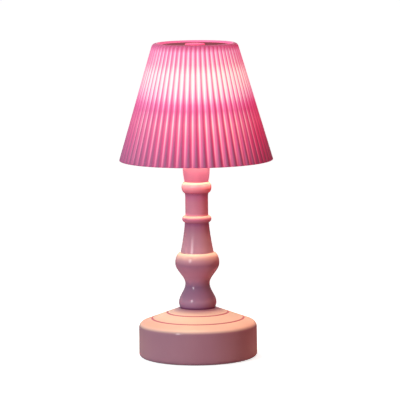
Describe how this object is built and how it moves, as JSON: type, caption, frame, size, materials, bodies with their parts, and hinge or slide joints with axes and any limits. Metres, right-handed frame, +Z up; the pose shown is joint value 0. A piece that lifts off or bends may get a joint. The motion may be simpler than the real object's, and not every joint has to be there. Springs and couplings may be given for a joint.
{
  "type": "night light",
  "caption": "Battery night light shaped as a small table lamp: pleated conical shade over a turned stem on a round base with a battery bay.",
  "frame": {"origin": "middle of the base on the plane that its four rubber feet stand on", "axes": "+Z up along the stem; -Y is the front; the switch is under the back, towards +Y; the battery door hooks in at -X"},
  "size_m": [0.1, 0.1, 0.2053],
  "materials": {
    "body_plastic": "glossy pale pink",
    "shade_plastic": "translucent pink, moulded",
    "holder_plastic": "translucent pink",
    "bulb_frosted": "frosted, lit",
    "foot_rubber": "matt",
    "screw_steel": "zinc plated",
    "contact_steel": "nickel plated",
    "cell_wrap": "printed film",
    "switch_tin": "tin plated",
    "knob_black": "satin",
    "lead_red": "satin",
    "lead_black": "satin",
    "board_white": "solder mask",
    "emitter_yellow": "phosphor, lit",
    "resistor_black": "moulded"
  },
  "bodies": {
    "lamp": {"base_shell": "body_plastic", "bottom_cover": "body_plastic", "rubber_foot_1": "foot_rubber", "rubber_foot_2": "foot_rubber", "rubber_foot_3": "foot_rubber", "rubber_foot_4": "foot_rubber", "cover_screw_1": "screw_steel", "cover_screw_2": "screw_steel", "cover_screw_3": "screw_steel", "cover_screw_4": "screw_steel", "stem_screw_1": "screw_steel", "stem_screw_2": "screw_steel", "stem_screw_3": "screw_steel", "battery_1": "cell_wrap", "battery_2": "cell_wrap", "battery_3": "cell_wrap", "battery_spring_1": "contact_steel", "battery_spring_2": "contact_steel", "battery_spring_3": "contact_steel", "plus_contact": "contact_steel", "minus_contact": "contact_steel", "link_contact_left": "contact_steel", "link_contact_right": "contact_steel", "switch_body": "switch_tin", "lead_cells_to_switch": "lead_red", "lead_switch_to_light": "lead_red", "lead_cells_to_light": "lead_black", "stem_vase": "body_plastic", "stem_column": "body_plastic", "stem_collar": "body_plastic", "lamp_holder": "holder_plastic", "led_board": "board_white", "led_emitter": "emitter_yellow", "led_resistor": "resistor_black", "bulb": "bulb_frosted"},
    "shade": {"shade": "shade_plastic", "shade_spider": "body_plastic"},
    "battery_door": {"battery_door": "body_plastic", "door_screw": "screw_steel"},
    "switch_knob": {"switch_knob": "knob_black"}
  },
  "joints": [
    {"name": "shade_lift", "type": "slide", "parent": "lamp", "child": "shade", "axis": [0, 0, 1], "range_m": [0, 0.095]},
    {"name": "battery_door", "type": "hinge", "parent": "lamp", "child": "battery_door", "pos_m": [-0.0266, 0, 0.0006], "axis": [0, 1, 0], "range_deg": [0, 60]},
    {"name": "switch_slide", "type": "slide", "parent": "lamp", "child": "switch_knob", "axis": [1, 0, 0], "range_m": [0, 0.004]}
  ]
}
